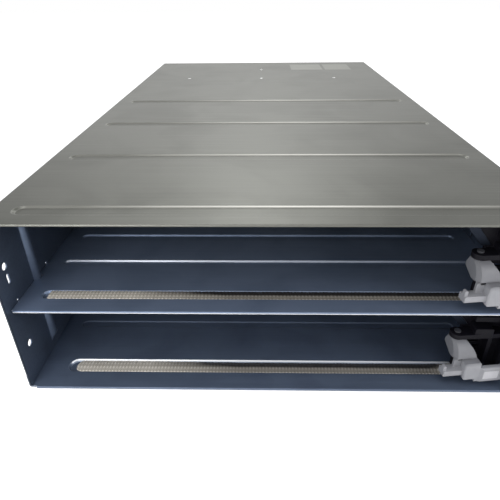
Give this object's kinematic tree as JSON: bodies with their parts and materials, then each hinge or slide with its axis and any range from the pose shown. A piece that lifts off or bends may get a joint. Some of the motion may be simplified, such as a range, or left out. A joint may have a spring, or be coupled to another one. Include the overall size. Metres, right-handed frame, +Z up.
{
  "type": "storage processor enclosure",
  "caption": "Open-mouthed sheet steel rack enclosure with stacked processor bays, pressed stiffening beads, shielding gaskets, an inner midplane and a swinging latch lever in each bay.",
  "frame": {"origin": "under the middle of the enclosure, on the plane its floor beads rest on", "axes": "+X to the right seen from the mouth, +Y from the mouth into the depth, +Z up"},
  "size_m": [0.447, 0.788, 0.175],
  "materials": {
    "panel_steel": "zinc-coated sheet, satin",
    "gasket": "metallised woven strip over foam",
    "circuit_board": "green solder mask",
    "fastener_steel": "bright zinc",
    "socket_plastic": "moulded, fine matt",
    "latch_black": "moulded, satin black",
    "lever_grey": "moulded, light grey, fine matt"
  },
  "bodies": {
    "chassis": {"top_cover": "panel_steel", "floor_tray": "panel_steel", "left_wall": "panel_steel", "right_wall": "panel_steel", "bay_shelf": "panel_steel", "far_shelf": "panel_steel", "midplane_bulkhead": "panel_steel", "upper_centre_wall": "panel_steel", "lower_centre_wall": "panel_steel", "lower_gasket": "gasket", "upper_gasket": "gasket", "midplane_board": "circuit_board", "midplane_standoffs": "fastener_steel", "cover_screws": "fastener_steel", "guide_pins": "fastener_steel", "lower_signal_sockets": "socket_plastic", "lower_power_socket": "socket_plastic", "lower_latch_housing": "latch_black", "upper_signal_sockets": "socket_plastic", "upper_power_socket": "socket_plastic", "upper_latch_housing": "latch_black"},
    "lower_lever": {"lower_lever": "lever_grey"},
    "upper_lever": {"upper_lever": "lever_grey"}
  },
  "joints": [
    {"name": "lower_lever_swing", "type": "hinge", "parent": "chassis", "child": "lower_lever", "pos_m": [0.173, -0.3695, 0.05135], "axis": [0, 0, -1], "range_deg": [0, 70]},
    {"name": "upper_lever_swing", "type": "hinge", "parent": "chassis", "child": "upper_lever", "pos_m": [0.173, -0.3695, 0.13535], "axis": [0, 0, -1], "range_deg": [0, 70]}
  ]
}
